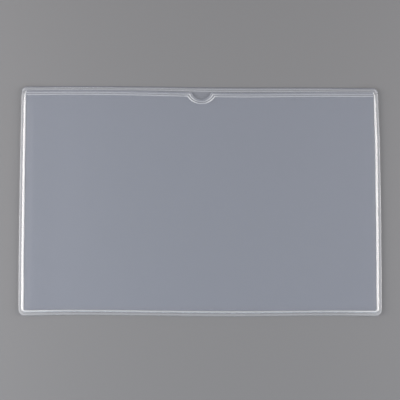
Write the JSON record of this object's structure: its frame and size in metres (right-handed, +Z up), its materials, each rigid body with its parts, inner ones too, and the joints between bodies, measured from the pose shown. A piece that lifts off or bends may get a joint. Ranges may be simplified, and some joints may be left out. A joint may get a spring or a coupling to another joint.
{
  "type": "card holder sleeve",
  "caption": "Clear vinyl sleeve for one index card, welded on both sides and the bottom, with an open top edge and a round thumb notch in its front sheet.",
  "frame": {"origin": "middle of the underside of the back sheet, on the surface that the sleeve lies on", "axes": "+X along the long side, +Y towards the open edge with the thumb notch, +Z up from the back sheet through the front sheet"},
  "size_m": [0.2142, 0.1356, 0.0012],
  "materials": {
    "clear_vinyl": "clear flexible PVC film, smooth and slightly blue",
    "welded_vinyl": "the same film melted into a round glossy bead"
  },
  "bodies": {
    "root": {"back_sheet": "clear_vinyl", "front_sheet": "clear_vinyl", "edge_weld": "welded_vinyl"}
  },
  "joints": []
}
